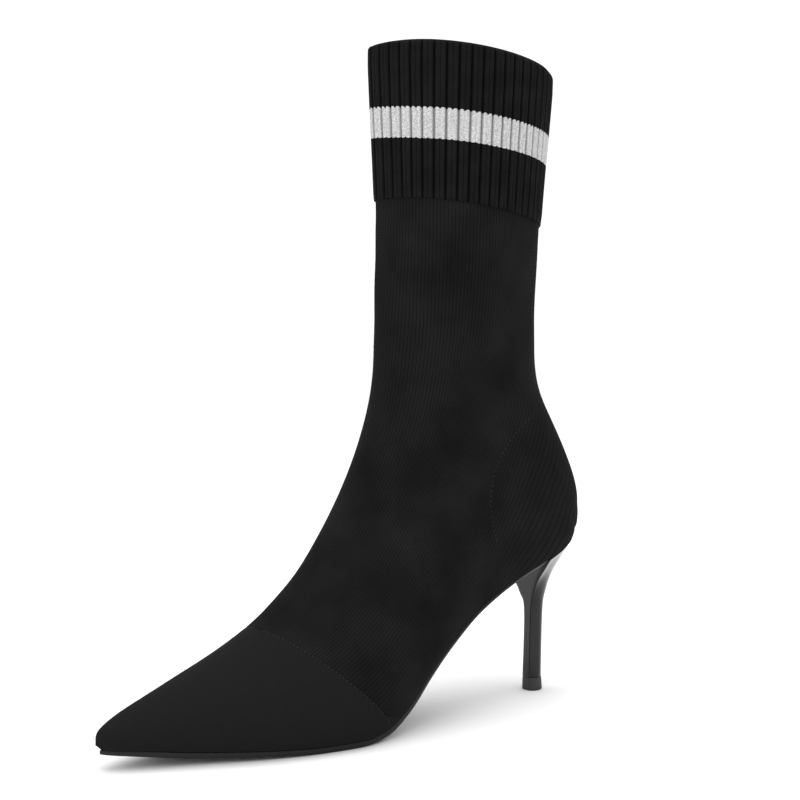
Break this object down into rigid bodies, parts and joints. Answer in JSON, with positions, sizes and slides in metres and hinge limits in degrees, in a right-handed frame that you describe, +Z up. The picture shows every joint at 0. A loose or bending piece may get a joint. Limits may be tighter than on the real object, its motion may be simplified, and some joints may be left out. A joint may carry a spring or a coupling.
{
  "type": "sock boot",
  "caption": "Pointed knitted sock boot on a slim stiletto heel, with a ribbed ankle cuff and a shiny stripe; a left boot.",
  "frame": {"origin": "the middle of the heel tip's tread, on the floor the boot stands on", "axes": "+Z up along the leg, -Y towards the toe, +X to the boot's outer side"},
  "size_m": [0.0803, 0.251, 0.3054],
  "materials": {
    "upper_knit": "fine black knit",
    "cuff_knit": "black rib knit with a silver stripe",
    "insole": "soft dark lining",
    "outsole": "smooth black with a polished edge",
    "heel": "glossy black",
    "top_lift": "matt black"
  },
  "bodies": {
    "root": {"upper": "upper_knit", "cuff": "cuff_knit", "insole": "insole", "outsole": "outsole", "heel": "heel", "top_lift": "top_lift"}
  },
  "joints": []
}
